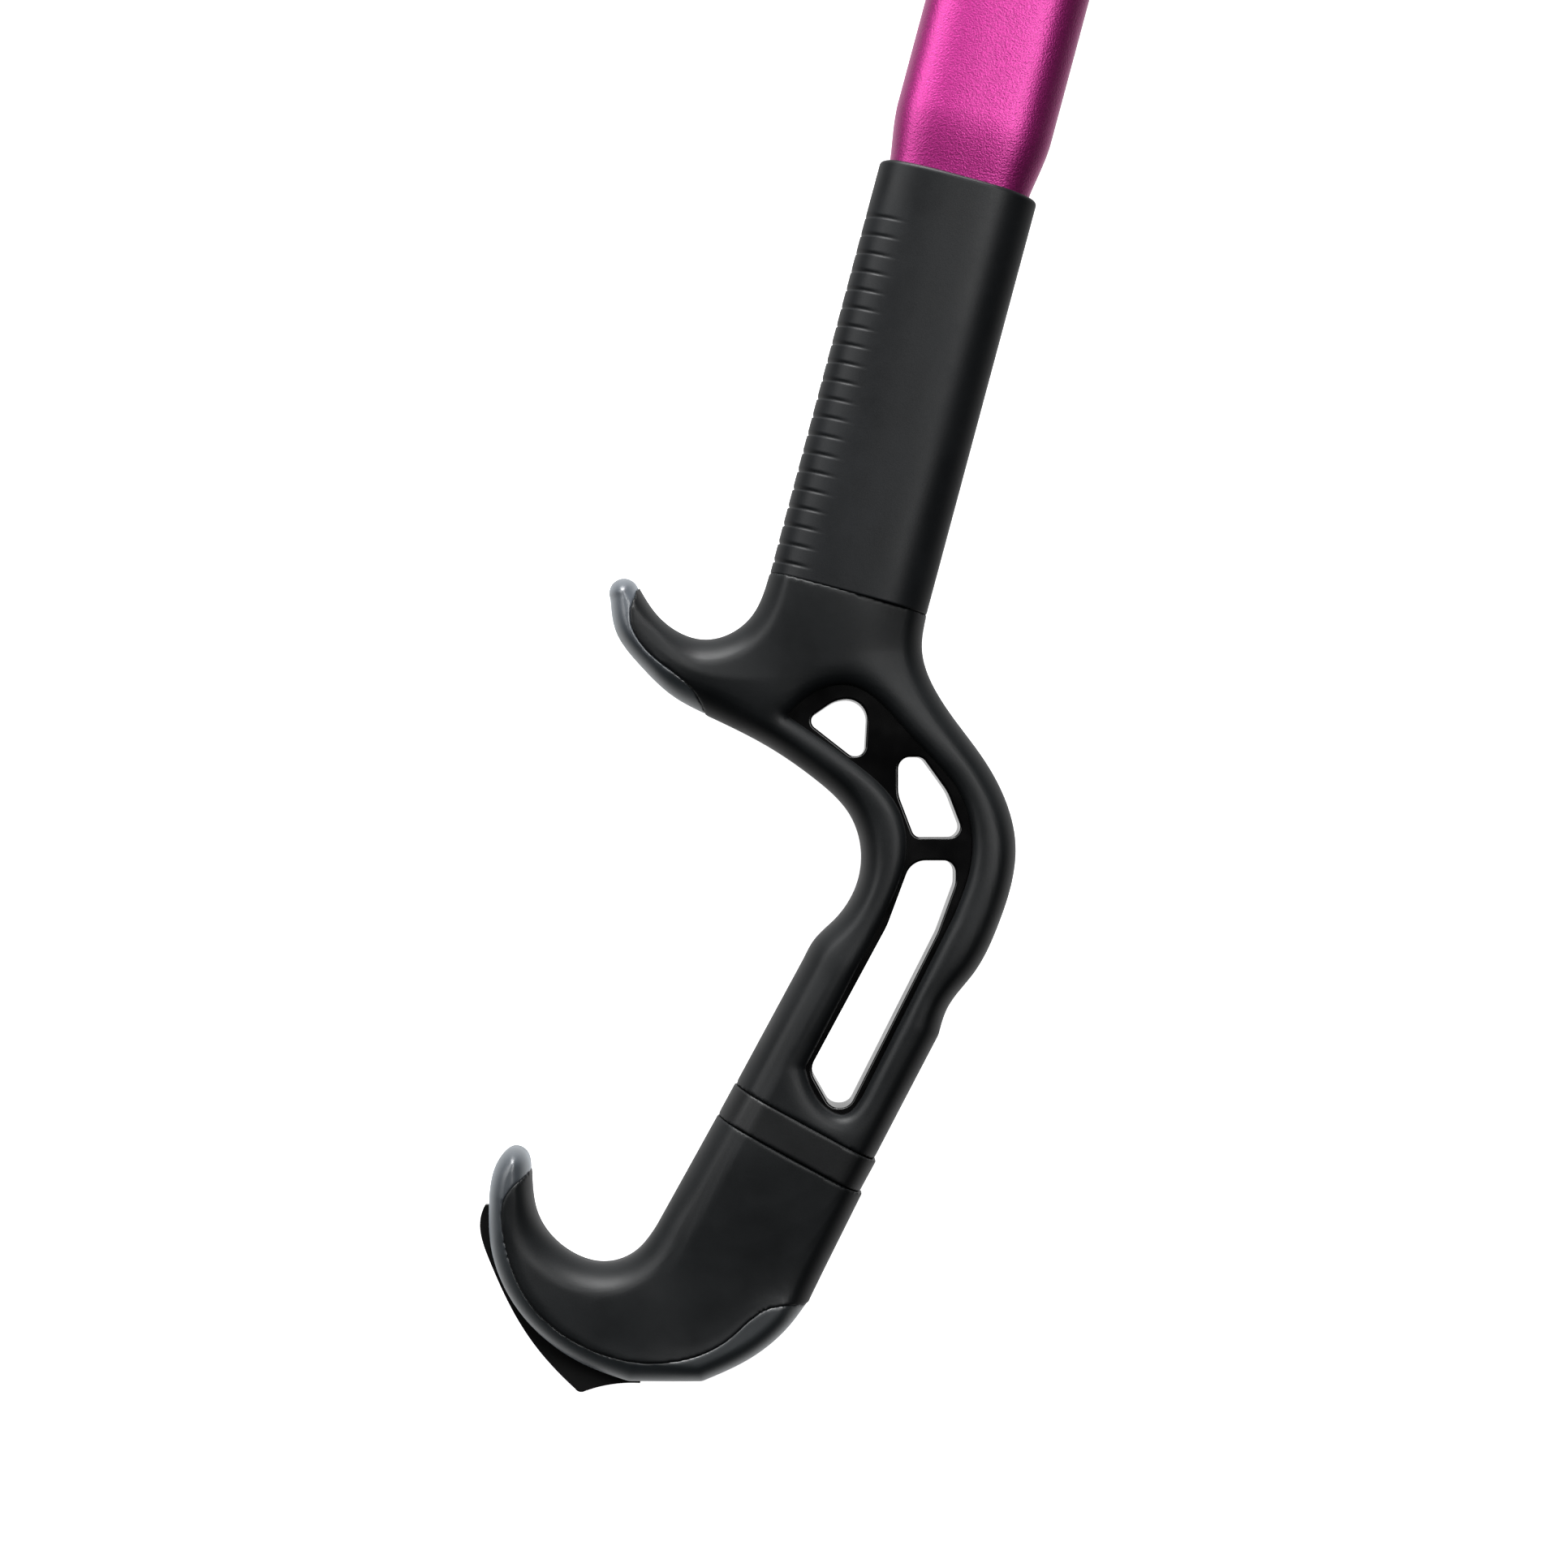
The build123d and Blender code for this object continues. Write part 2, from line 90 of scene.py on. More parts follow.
def on_shaft(along, across=0.0):
    return point_on(SHAFT_FOOT, SHAFT_LEAN, along, across)


spacer_low, spacer_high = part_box("grip_spacer")
spacer_middle = (spacer_low + spacer_high) / 2
spacer_drawn = in_grip(SPACER_THICK / 2, 0.0)
ORIGIN = np.array(spacer_middle) - np.array([*spacer_drawn, 0.0]) * MM


def place(points):
    """Drawing frame millimetres to row frame metres."""
    return np.asarray(points, float) * MM + ORIGIN


# ---------------------------------------------------------------- curves and fields


def smooth(points, step=0.6):
    """Natural cubic curve through the points, sampled about every step millimetres."""
    points = np.asarray(points, float)
    chord = np.concatenate([[0], np.cumsum(np.linalg.norm(np.diff(points, axis=0), axis=1))])
    n = len(points)
    gaps = np.diff(chord)
    system, right = np.eye(n), np.zeros((n, 2))
    for i in range(1, n - 1):
        system[i, i - 1:i + 2] = gaps[i - 1], 2 * (gaps[i - 1] + gaps[i]), gaps[i]
        right[i] = 6 * ((points[i + 1] - points[i]) / gaps[i] - (points[i] - points[i - 1]) / gaps[i - 1])
    bend = np.linalg.solve(system, right)
    at = np.linspace(0, chord[-1], max(2, int(chord[-1] / step)))
    k = np.clip(np.searchsorted(chord, at, side="right") - 1, 0, n - 2)
    h, a, b = gaps[k][:, None], (chord[k + 1] - at)[:, None], (at - chord[k])[:, None]
    return (bend[k] * a ** 3 + bend[k + 1] * b ** 3) / (6 * h) \
        + (points[k] / h - bend[k] * h / 6) * a + (points[k + 1] / h - bend[k + 1] * h / 6) * b


def arc(a, through, b, step=0.4):
    """Circular arc from a to b through a third point."""
    (ax, ay), (bx, by), (cx, cy) = a, through, b
    d = 2 * (ax * (by - cy) + bx * (cy - ay) + cx * (ay - by))
    ux = ((ax**2 + ay**2) * (by - cy) + (bx**2 + by**2) * (cy - ay) + (cx**2 + cy**2) * (ay - by)) / d
    uy = ((ax**2 + ay**2) * (cx - bx) + (bx**2 + by**2) * (ax - cx) + (cx**2 + cy**2) * (bx - ax)) / d
    r = math.hypot(ax - ux, ay - uy)
    start, middle, end = (math.atan2(y - uy, x - ux) for x, y in (a, through, b))
    turn = (end - start) % math.tau
    if (middle - start) % math.tau > turn:
        turn -= math.tau
    angles = np.linspace(start, start + turn, max(3, int(abs(turn) * r / step)))
    return np.stack([ux + r * np.cos(angles), uy + r * np.sin(angles)], 1)


def chain(*runs):
    """Joins runs of points into one list."""
    return np.concatenate([np.atleast_2d(np.asarray(run, float)) for run in runs])


def distance(run, X, Y, closed=True):
    """Distance to a run of points. A closed run gives positive inside and negative outside."""
    nearest = np.full(X.shape, 1e9)
    inside = np.zeros(X.shape, bool)
    ends = np.roll(run, -1, axis=0) if closed else run[1:]
    for (ax, ay), (bx, by) in zip(run, ends):
        ex, ey = bx - ax, by - ay
        length = ex * ex + ey * ey
        if length < 1e-12:
            continue
        wx, wy = X - ax, Y - ay
        t = np.clip((wx * ex + wy * ey) / length, 0, 1)
        nearest = np.minimum(nearest, (wx - t * ex) ** 2 + (wy - t * ey) ** 2)
        if closed:
            inside ^= ((ay > Y) != (by > Y)) & (wx < ex * (Y - ay) / (ey if abs(ey) > 1e-12 else 1e-12))
    far = np.sqrt(nearest)
    return np.where(inside, far, -far) if closed else far


def softplus(v, k):
    """A ramp that starts at zero and is rounded over about k."""
    return k * np.logaddexp(0, v / k)


def rise(value, start, end):
    """Smooth rise from 0 to 1 while the value goes from start to end."""
    v = np.clip((value - start) / (end - start), 0, 1)
    return v * v * (3 - 2 * v)


def smooth_max(a, b, k):
    """The larger of two fields, blended over about k where they meet."""
    h = np.clip(0.5 + 0.5 * (a - b) / k, 0, 1)
    return b + (a - b) * h + k * h * (1 - h)


def corner(d, z, top, across, down, power=2.0):
    """Field of a solid that ends at d = 0 and z = top, rounded over across and down millimetres."""
    u, w = (across - d) / across, (z - top + down) / down
    outer = (np.maximum(u, 0) ** power + np.maximum(w, 0) ** power) ** (1 / power)
    return (outer + np.minimum(np.maximum(u, w), 0) - 1) * np.minimum(across, down)


def cut_at(f, gap, z, top, lift, radius, blend):
    """Ends the field f where gap is 0, with an edge of this radius a little above top."""
    edge = corner(gap[:, :, None], z, top[:, :, None] + lift, radius, radius)
    return smooth_max(f, edge, blend)


# ---------------------------------------------------------------- meshes


def mesh_piece(name, vertices, faces, material, body, nodes):
    """An object with these vertices and quads that rides on the body and stands for the nodes."""
    mesh = bpy.data.meshes.new(name)
    faces = np.asarray(faces)
    mesh.vertices.add(len(vertices))
    mesh.vertices.foreach_set("co", np.asarray(vertices, np.float32).ravel())
    mesh.loops.add(faces.size)
    mesh.loops.foreach_set("vertex_index", faces.ravel().astype(np.int32))
    mesh.polygons.add(len(faces))
    mesh.polygons.foreach_set("loop_start", np.arange(0, faces.size, faces.shape[1], dtype=np.int32))
    mesh.polygons.foreach_set("loop_total", np.full(len(faces), faces.shape[1], np.int32))
    mesh.update(calc_edges=True)
    mesh.validate()
    mesh.shade_smooth()
    piece = bpy.data.objects.new(name, mesh)
    bpy.context.scene.collection.objects.link(piece)
    mesh.materials.append(material)
    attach(piece, body)
    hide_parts(*nodes)
    return piece


def field_piece(name, low, high, field, material, body, nodes, voxel=0.5):
    """Mesh of field(X, Y, Z) = 0, symmetric about the mid plane, between two corners in the drawing frame."""
    nx, ny = (int(math.ceil((high[i] - low[i]) / voxel)) + 1 for i in (0, 1))
    nz = int(math.ceil(FIELD_HALF / voxel)) + 1
    xs, ys, zs = low[0] + np.arange(nx) * voxel, low[1] + np.arange(ny) * voxel, np.arange(nz) * voxel
    X, Y = np.meshgrid(xs, ys, indexing="ij")
    upper = field(X, Y, zs)
    values = np.concatenate([upper[:, :, :0:-1], upper], axis=2).astype(np.float32)
    grid = vdb.FloatGrid()
    grid.background = FIELD_LIMIT
    grid.copyFromArray(np.ascontiguousarray(np.clip(values, -FIELD_LIMIT, FIELD_LIMIT)))
    grid.gridClass = vdb.GridClass.LEVEL_SET
    points, quads = grid.convertToQuads(0.0)
    drawn = points * voxel + np.array([low[0], low[1], -(nz - 1) * voxel])
    return mesh_piece(name, place(drawn), quads[:, ::-1], material, body, nodes)


# ---------------------------------------------------------------- materials


def shader(name, color, roughness, metallic=0.0, **sockets):
    material = bpy.data.materials.new(name)
    material.use_nodes = True
    node = material.node_tree.nodes["Principled BSDF"]
    node.inputs["Base Color"].default_value = (*color, 1)
    node.inputs["Roughness"].default_value = roughness
    node.inputs["Metallic"].default_value = metallic
    for socket, value in sockets.items():
        node.inputs[socket.replace("_", " ")].default_value = value
    return material, material.node_tree, node


def noise(tree, scale, detail=2.0, rough=0.5):
    """Noise in object space; scale is in bumps per metre."""
    where = tree.nodes.new("ShaderNodeTexCoord")
    node = tree.nodes.new("ShaderNodeTexNoise")
    node.inputs["Scale"].default_value = scale
    node.inputs["Detail"].default_value = detail
    node.inputs["Roughness"].default_value = rough
    tree.links.new(where.outputs["Object"], node.inputs["Vector"])
    return node


def ramp(tree, source, stops):
    """Colour ramp with (position, colour or grey) stops."""
    node = tree.nodes.new("ShaderNodeValToRGB")
    elements = node.color_ramp.elements
    while len(elements) < len(stops):
        elements.new(0.5)
    for element, (at, color) in zip(elements, stops):
        element.position = at
        element.color = (*color, 1) if isinstance(color, tuple) else (color, color, color, 1)
    tree.links.new(source, node.inputs["Fac"])
    return node


def vary_color(tree, node, source, color, darkest, palest, spread=0.2):
    """Base colour that goes from a darker to a paler shade of color around the source's middle."""
    dark = tuple(darkest * c for c in color)
    pale = tuple(min(1.0, palest * c) for c in color)
    tint = ramp(tree, source, [(0.5 - spread, dark), (0.5 + spread, pale)])
    tree.links.new(tint.outputs["Color"], node.inputs["Base Color"])


def vary_roughness(tree, node, source, smoothest, roughest):
    """Roughness that goes from smoothest to roughest around the source's middle."""
    worn = ramp(tree, source, [(0.3, smoothest), (0.7, roughest)])
    tree.links.new(worn.outputs["Color"], node.inputs["Roughness"])


def bump(tree, shader_node, height, distance_mm, before=None):
    """Bumps of this height on the shader's normal, on top of the bumps before."""
    node = tree.nodes.new("ShaderNodeBump")
    node.inputs["Strength"].default_value = 1.0
    node.inputs["Distance"].default_value = distance_mm * MM
    tree.links.new(height, node.inputs["Height"])
    if before is not None:
        tree.links.new(before.outputs["Normal"], node.inputs["Normal"])
    tree.links.new(node.outputs["Normal"], shader_node.inputs["Normal"])
    return node


def rubber(name, color, roughness, grain_mm=0.45, depth_mm=0.015, specular=0.5):
    """Moulded rubber with a fine grain and slight clouds in its colour and gloss."""
    material, tree, node = shader(name, color, roughness, Specular_IOR_Level=specular)
    mottled = noise(tree, 60, 5, 0.62)
    vary_color(tree, node, mottled.outputs["Fac"], color, 0.8, 1.25)
    vary_roughness(tree, node, mottled.outputs["Fac"], roughness - 0.05, roughness + 0.05)
    grain = noise(tree, 1 / (grain_mm * MM), 3, 0.65)
    bump(tree, node, grain.outputs["Fac"], depth_mm)
    return material


def anodised(name, color):
    """Satin dyed aluminium with an orange-peel surface."""
    material, tree, node = shader(name, color, 0.48, 1.0, Coat_Weight=0.9, Coat_Roughness=0.40, Coat_IOR=1.65)
    peel = noise(tree, 2300, 1.5, 0.5)
    fine = noise(tree, 4200, 1, 0.5)
    vary_color(tree, node, peel.outputs["Fac"], color, 0.86, 1.1, spread=0.15)
    first = bump(tree, node, peel.outputs["Fac"], 0.11)
    last = bump(tree, node, fine.outputs["Fac"], 0.012, before=first)
    tree.links.new(last.outputs["Normal"], node.inputs["Coat Normal"])
    return material


def plastic(name, color, roughness, grain_mm=0.3, depth_mm=0.01, specular=0.5, frost=0.0):
    """Moulded plastic with a fine grain. Frost adds a cold sheen and a soft coat."""
    material, tree, node = shader(name, color, roughness, Specular_IOR_Level=specular, Sheen_Weight=frost,
                                  Sheen_Roughness=0.4, Sheen_Tint=(0.75, 0.88, 1.0, 1.0),
                                  Coat_Weight=min(1.0, 3 * frost), Coat_Roughness=0.42, Coat_IOR=1.8)
    cloud = noise(tree, 60, 3, 0.6)
    vary_color(tree, node, cloud.outputs["Fac"], color, 0.85, 1.15)
    vary_roughness(tree, node, cloud.outputs["Fac"], roughness - 0.05, roughness + 0.06)
    grain = noise(tree, 1 / (grain_mm * MM), 2, 0.6)
    bump(tree, node, grain.outputs["Fac"], depth_mm)
    return material


HIGHLIGHT_EDGE_REACH = 0.014  # metres by which noise moves the edge of the painted tip highlight up and down


def painted_tip_highlight(material, pale, low_mm, high_mm):
    """Painted highlight: a paler plastic colour towards the tip of a rest, between two heights in the drawing
    frame, standing in for the top light on surfaces that face it; noise makes its edge ragged.
    """
    tree = material.node_tree
    node = tree.nodes["Principled BSDF"]
    where = tree.nodes.new("ShaderNodeTexCoord")
    split = tree.nodes.new("ShaderNodeSeparateXYZ")
    tree.links.new(where.outputs["Object"], split.inputs["Vector"])
    # noise that wobbles the edge of the painted highlight
    highlight_edge_noise = noise(tree, 260, 4, 0.65)
    spread = tree.nodes.new("ShaderNodeMath")
    spread.operation = "MULTIPLY_ADD"
    spread.inputs[1].default_value = HIGHLIGHT_EDGE_REACH
    tree.links.new(highlight_edge_noise.outputs["Fac"], spread.inputs[0])
    tree.links.new(split.outputs["Y"], spread.inputs[2])
    highlight_amount = tree.nodes.new("ShaderNodeMapRange")
    highlight_amount.interpolation_type = "SMOOTHSTEP"
    highlight_amount.inputs["From Min"].default_value = place([0, low_mm, 0])[1] + HIGHLIGHT_EDGE_REACH / 2
    highlight_amount.inputs["From Max"].default_value = place([0, high_mm, 0])[1] + HIGHLIGHT_EDGE_REACH / 2
    tree.links.new(spread.outputs["Value"], highlight_amount.inputs["Value"])
    base = node.inputs["Base Color"].links[0].from_socket
    mix = tree.nodes.new("ShaderNodeMix")
    mix.data_type = "RGBA"
    tree.links.new(highlight_amount.outputs["Result"], mix.inputs[0])
    tree.links.new(base, mix.inputs[6])
    mix.inputs[7].default_value = (*pale, 1)
    tree.links.new(mix.outputs[2], node.inputs["Base Color"])


def metal(name, color, roughness, stretch=(1, 1, 1), depth_mm=0.006):
    """Ground or turned metal. The grain is stretched along the axes whose scale is small."""
    material, tree, node = shader(name, color, roughness, 1.0)
    where = tree.nodes.new("ShaderNodeTexCoord")
    mapping = tree.nodes.new("ShaderNodeMapping")
    mapping.inputs["Scale"].default_value = stretch
    grain = tree.nodes.new("ShaderNodeTexNoise")
    grain.inputs["Scale"].default_value = 900
    grain.inputs["Detail"].default_value = 3
    tree.links.new(where.outputs["Object"], mapping.inputs["Vector"])
    tree.links.new(mapping.outputs["Vector"], grain.inputs["Vector"])
    stain = noise(tree, 45, 4, 0.6)
    vary_color(tree, node, stain.outputs["Fac"], color, 0.9, 1.06)
    vary_roughness(tree, node, grain.outputs["Fac"], roughness - 0.05, roughness + 0.05)
    bump(tree, node, grain.outputs["Fac"], depth_mm)
    return material


GRIP = rubber("grip_rubber", (0.0042, 0.0052, 0.0060), 0.48, specular=0.37)
SLEEVE = rubber("sleeve_rubber", (0.0052, 0.0062, 0.0074), 0.47, 0.35, 0.02, 0.34)
SHAFT = anodised("shaft_anodised", (0.57, 0.009, 0.285))
BUMPER = plastic("bumper_plastic", (0.010, 0.0145, 0.0175), 0.46, specular=0.8, frost=0.3)
CORE = plastic("core_plastic", (0.0008, 0.0008, 0.0009), 0.2, 0.4, 0.002)
SPACER = plastic("spacer_plastic", (0.0046, 0.0052, 0.0058), 0.46, 0.35, 0.015, 0.42)
NOSE = plastic("nose_plastic", (0.010, 0.0145, 0.0175), 0.46, specular=0.8, frost=0.3)
# The paler tips of the cap and the nose are a painted highlight, not wear: tips facing the top light are
# painted lighter.
painted_tip_highlight(BUMPER, (0.06, 0.072, 0.086), 26, 68)
painted_tip_highlight(NOSE, (0.09, 0.105, 0.125), 164, 206)
STEEL = metal("steel", (0.55, 0.55, 0.56), 0.3)
DARK_STEEL = metal("screw_steel", (0.06, 0.06, 0.065), 0.38)
SPIKE = plastic("spike_steel", (0.0025, 0.0025, 0.0028), 0.42, 0.25, 0.01)
HEAD = plastic("head_metal", (0.012, 0.0125, 0.0135), 0.36, 0.3, 0.02)
PICK = metal("pick_steel", (0.42, 0.42, 0.43), 0.34, (0.25, 1, 1), 0.003)

# ---------------------------------------------------------------- outlines of the handle

SEAM_TOP, SEAM_FOOT = (-35.8, 198.2), (-19.2, 166.5)
REST_TIP = arc((-43.0, 195.0), (-40.4, 200.3), SEAM_TOP)
HANDLE_FRONT = chain(
    in_grip(-20, -19.5),
    smooth([(4.8, 106.6), (7.4, 111.2), (12.6, 116.4), (18.8, 129.0), (16.4, 141.6), (7.6, 150.8),
            (-4.0, 158.8), SEAM_FOOT, (-27.2, 170.8), (-35.8, 178.8), (-41.6, 187.0), (-43.0, 195.0)]),
    REST_TIP,
    smooth([SEAM_TOP, (-30.8, 190.8), (-19.2, 185.2), (-8.6, 190.2), on_shaft(-0.1, -20.0)]),
    on_shaft(25, -20.0),
)
HANDLE_BACK = chain(
    on_shaft(25, 20.0),
    smooth([on_shaft(-0.1, 20.0), (34.0, 183.0), (38.4, 170.8), (49.8, 154.8), (57.0, 134.8),
            (52.6, 114.8), (46.4, 102.8), (40.2, 94.6), (38.0, 88.0)]),
    in_grip(-20, 19.5),
)
HANDLE = chain(HANDLE_FRONT, HANDLE_BACK)
REST_SEAM = smooth([(-36.4, 204.0), SEAM_TOP, (-37.5, 191.0), (-32.0, 180.8), (-22.0, 172.4), SEAM_FOOT,
                    (-19.0, 160.0)])
LIP = chain(
    smooth([(1.0, 166.4), (5.2, 170.4), (14.8, 173.8), (30.4, 161.8), (44.4, 144.0), (45.8, 131.0),
            (41.4, 117.2)]),
    smooth([(19.4, 73.8), (14.6, 68.9), (9.0, 71.8), (5.2, 80.4)]),
    smooth([(25.0, 118.4), (29.6, 131.0), (28.4, 142.8), (16.2, 155.8), (1.0, 166.4)]),
)

GRIP_HALF = 14.5
EDGE_ACROSS, EDGE_DOWN = 5.5, 10.0   # rounding of the grip's edges, across the face and down the side
FRONT_FACET, BACK_FACET = 8.5, 6.5   # widths of the sloping facets beside the front and the back edge
FRONT_SLOPE, BACK_SLOPE = 0.40, 0.32
CRISP = 0.4                          # width over which a facet's crease is rounded on the lower grip
LIP_ACROSS, LIP_DOWN = 6.5, 4.6      # rounding of the rubber round the handle's web
SEAM_ROUND, SEAM_BLEND = 0.5, 0.2
END_ROUND, END_BLEND = 0.6, 0.3
NOSE_INSET, CAP_INSET = 0.25, 0.2    # how far the hard pieces lie below the rubber beside them


def along_grip(X, Y):
    up = direction(GRIP_LEAN)
    return (X - GRIP_ORIGIN[0]) * up[0] + (Y - GRIP_ORIGIN[1]) * up[1]


def across_grip(X, Y):
    side = direction(GRIP_LEAN + 90)
    return (X - GRIP_ORIGIN[0]) * side[0] + (Y - GRIP_ORIGIN[1]) * side[1]


def crown(across):
    """The faces fall away slightly to both sides of the middle."""
    return 0.0045 * np.minimum(across ** 2, 120 * (1 - np.exp(-across ** 2 / 120)))


def along_shaft(X, Y):
    up = direction(SHAFT_LEAN)
    return (X - SHAFT_FOOT[0]) * up[0] + (Y - SHAFT_FOOT[1]) * up[1]


def handle_form(X, Y, zs, inset=0.0):
    """The handle's outer form with the upper rest: facets, rounded sides and a rest that thins to its tip."""
    out = distance(HANDLE, X, Y)
    front, back = distance(HANDLE_FRONT, X, Y, False), distance(HANDLE_BACK, X, Y, False)
    high = rise(Y, 98, 122)
    rest = rise(X, -6, -42) * rise(Y, 150, 165)
    hooked = rise(X, -20, -32) * rise(Y, 158, 172)
    below = rise(along_shaft(X, Y), 0, -26) * rise(Y, 112, 152)
    back_facet = np.interp(Y, [60, 140, 155, 168, 182], [BACK_FACET, 8.0, 9.0, 11.0, 13.5])
    softness = CRISP + 3.0 * high
    front_slope = (FRONT_SLOPE - 0.08 * high - 0.10 * rest) * (1 - 0.6 * hooked)
    back_slope = 0.30 + 0.14 * rise(Y, 165, 185)
    top = GRIP_HALF - inset - front_slope * softplus(FRONT_FACET - front, softness)
    top = top - back_slope * softplus(back_facet - back, softness)
    top = top - 1.5 * rest - 1.8 * hooked * rise(Y, 178, 202) - 1.8 * below * (1 - rest)
    top = top - crown(across_grip(X, Y)) * rise(Y, 96, 76)
    across = EDGE_ACROSS + 2.0 * rise(X, 4, -10) * rise(Y, 160, 172) * (1 - hooked) - 1.4 * hooked
    z = zs[None, None, :]
    down = np.minimum(EDGE_DOWN, top - 0.5)[:, :, None]
    return corner(out[:, :, None] - inset, z, top[:, :, None], across[:, :, None], down), top


def side_of(run, X, Y):
    """Distance to an open run, positive on its left."""
    best = np.full(X.shape, 1e9)
    sign = np.ones(X.shape)
    for (ax, ay), (bx, by) in zip(run, run[1:]):
        ex, ey = bx - ax, by - ay
        wx, wy = X - ax, Y - ay
        t = np.clip((wx * ex + wy * ey) / (ex * ex + ey * ey), 0, 1)
        d = (wx - t * ex) ** 2 + (wy - t * ey) ** 2
        near = d < best
        best = np.where(near, d, best)
        sign = np.where(near, np.sign(ex * wy - ey * wx), sign)
    return sign * np.sqrt(best)


def handle_rubber(X, Y, zs):
    """The handle's rubber, open round the web, up to the nose's seam, the spacer and the sleeve."""
    form, top = handle_form(X, Y, zs)
    z = zs[None, None, :]
    lip = -distance(LIP, X, Y)
    f = smooth_max(form, corner(lip[:, :, None], z, top[:, :, None] + 0.3, LIP_ACROSS, LIP_DOWN, 2.2), 1.0)
    f = cut_at(f, side_of(REST_SEAM, X, Y) + 0.15, z, top, 0.15, SEAM_ROUND, SEAM_BLEND)
    f = cut_at(f, along_grip(X, Y) - SPACER_THICK - 0.05, z, top, 0.3, END_ROUND, END_BLEND)
    return cut_at(f, 0.12 - along_shaft(X, Y), z, top, 0.1, 0.7, 0.2)


def rest_nose(X, Y, zs):
    """The hard nose of the upper rest, outside the seam."""
    form, top = handle_form(X, Y, zs, NOSE_INSET)
    z = zs[None, None, :]
    return cut_at(form, -side_of(REST_SEAM, X, Y) - 0.04, z, top, 0.15, SEAM_ROUND, SEAM_BLEND)


field_piece("handle_rubber", (-46, 52), (62, 206), handle_rubber, GRIP, "tool",
            ["handle_grip"], voxel=0.58)
field_piece("upper_rest_nose", (-46, 160), (-14, 204), rest_nose, NOSE, "tool",
            ["upper_rest_bumper"], voxel=0.4)

# ---------------------------------------------------------------- spacer and pommel

TOE_TOP, HEEL = (-62.2, 54.6), (6.0, 22.3)
SCREW_SEAT, WELL_RADIUS = -38.0, 4.5          # the screw head's place along the grip, and its well
SPACER_HALF_WIDTH, SPACER_PROUD = 19.75, 0.25  # the spacer stands proud of the rubber beside it
POMMEL_FRONT = chain(
    in_grip(25, -19.6),
    smooth([(-31.4, 40.8), (-36.4, 34.6), (-43.6, 31.8), (-53.0, 34.6), (-60.6, 43.4), TOE_TOP]),
    smooth([TOE_TOP, (-63.2, 59.0), (-66.2, 60.6), (-70.2, 57.6), (-72.6, 49.0)]),
)
POMMEL_OUTER = chain(
    smooth([(-72.6, 49.0), (-72.2, 36.2), (-64.4, 19.0), (-47.2, 6.2), (-38.0, 3.0)]),
    smooth([(-20.0, 3.0), (-8.4, 8.4), (0.8, 15.8), HEEL]),
)
POMMEL_BACK = chain(HEEL, in_grip(25, 19.6))
POMMEL = chain(POMMEL_FRONT, POMMEL_OUTER, POMMEL_BACK)
TOE_SEAM = smooth([(-56.0, 60.0), TOE_TOP, (-67.8, 49.0), (-68.2, 39.4), (-62.0, 23.4), (-45.4, 11.4),
                   (-29.4, 9.0), (-13.4, 14.8), (-4.6, 21.8), HEEL, (14.0, 21.0)])


def pommel_form(X, Y, zs, inset=0.0):
    """The pommel's outer form with the lower rest, slightly dished inside the cap's seam."""
    out = distance(POMMEL, X, Y)
    front, back = distance(POMMEL_FRONT, X, Y, False), distance(POMMEL_BACK, X, Y, False)
    hook = rise(X, -22, -36)
    dish = 1.0 - np.exp(-np.maximum(side_of(TOE_SEAM, X, Y), 0) / 2.8)
    dish = dish * rise(Y, 62, 26) * (1 - 0.6 * hook)
    toe = hook * rise(Y, 34, 50)
    front_slope = (FRONT_SLOPE - 0.18 * hook) * (1 - 0.6 * toe)
    top = GRIP_HALF - inset - front_slope * softplus(FRONT_FACET - front, CRISP + 2.8 * hook)
    top = top - BACK_SLOPE * softplus(BACK_FACET - back, 0.6)
    top = top - 1.2 * rise(X, -30, -68) - 1.3 * dish - crown(across_grip(X, Y)) * (1 - hook)
    across = EDGE_ACROSS + 2.0 * hook * (1 - toe) - 1.2 * toe
    z = zs[None, None, :]
    down = np.minimum(EDGE_DOWN, top - 0.5)[:, :, None]
    return corner(out[:, :, None] - inset, z, top[:, :, None], across[:, :, None], down), top


def with_well(f, X, Y, zs):
    """Cuts the round well through which a hex key reaches the pommel screw."""
    far = np.hypot(across_grip(X, Y)[:, :, None], zs[None, None, :])
    below_seat = SCREW_SEAT - along_grip(X, Y)[:, :, None]
    return smooth_max(f, np.minimum(WELL_RADIUS - far, below_seat), 0.5)


def pommel_rubber(X, Y, zs):
    """The pommel's rubber, from the spacer to the cap's seam."""
    form, top = pommel_form(X, Y, zs)
    z = zs[None, None, :]
    f = cut_at(form, side_of(TOE_SEAM, X, Y) + 0.15, z, top, 0.15, SEAM_ROUND, SEAM_BLEND)
    f = cut_at(f, -along_grip(X, Y) - 0.05, z, top, 0.3, END_ROUND, END_BLEND)
    return with_well(f, X, Y, zs)


def pommel_cap(X, Y, zs):
    """The hard cap of toe and heel, outside the seam."""
    form, top = pommel_form(X, Y, zs, CAP_INSET)
    z = zs[None, None, :]
    f = cut_at(form, -side_of(TOE_SEAM, X, Y) - 0.04, z, top, 0.15, SEAM_ROUND, SEAM_BLEND)
    return with_well(f, X, Y, zs)


